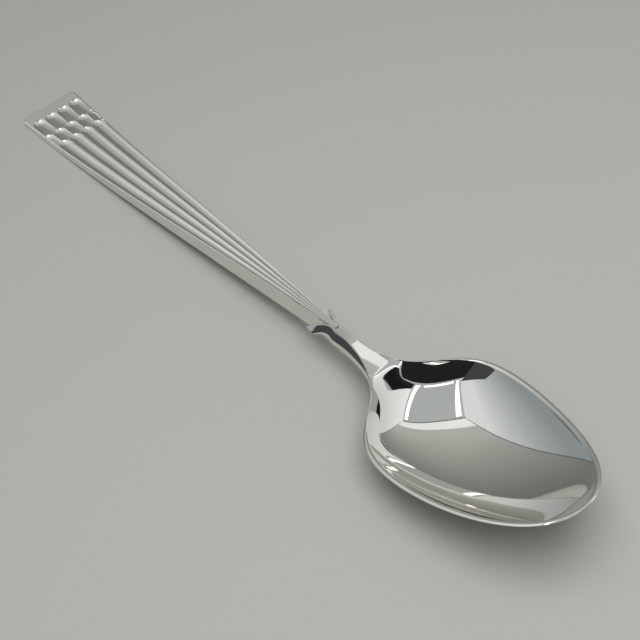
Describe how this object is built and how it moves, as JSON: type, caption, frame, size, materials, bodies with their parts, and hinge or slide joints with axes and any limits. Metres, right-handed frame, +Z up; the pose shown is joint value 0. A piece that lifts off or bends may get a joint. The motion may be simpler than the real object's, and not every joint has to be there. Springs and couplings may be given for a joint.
{
  "type": "teaspoon",
  "caption": "Teaspoon with a mirror-polished oval bowl, a narrow winged neck and a tapered fluted handle that ends in staggered rows of scallops.",
  "frame": {"origin": "on the table under the middle of the spoon's length, on its centre line", "axes": "+X from the handle's end to the bowl's tip, +Z up from the table, Y across the spoon"},
  "size_m": [0.125, 0.0244, 0.0124],
  "materials": {
    "polished_silver": "mirror-polished silver plate",
    "satin_silver": "soft-polished silver plate",
    "silver_solder": "dull silver solder"
  },
  "bodies": {
    "root": {"bowl": "polished_silver", "handle": "satin_silver", "solder_seam": "silver_solder"}
  },
  "joints": []
}
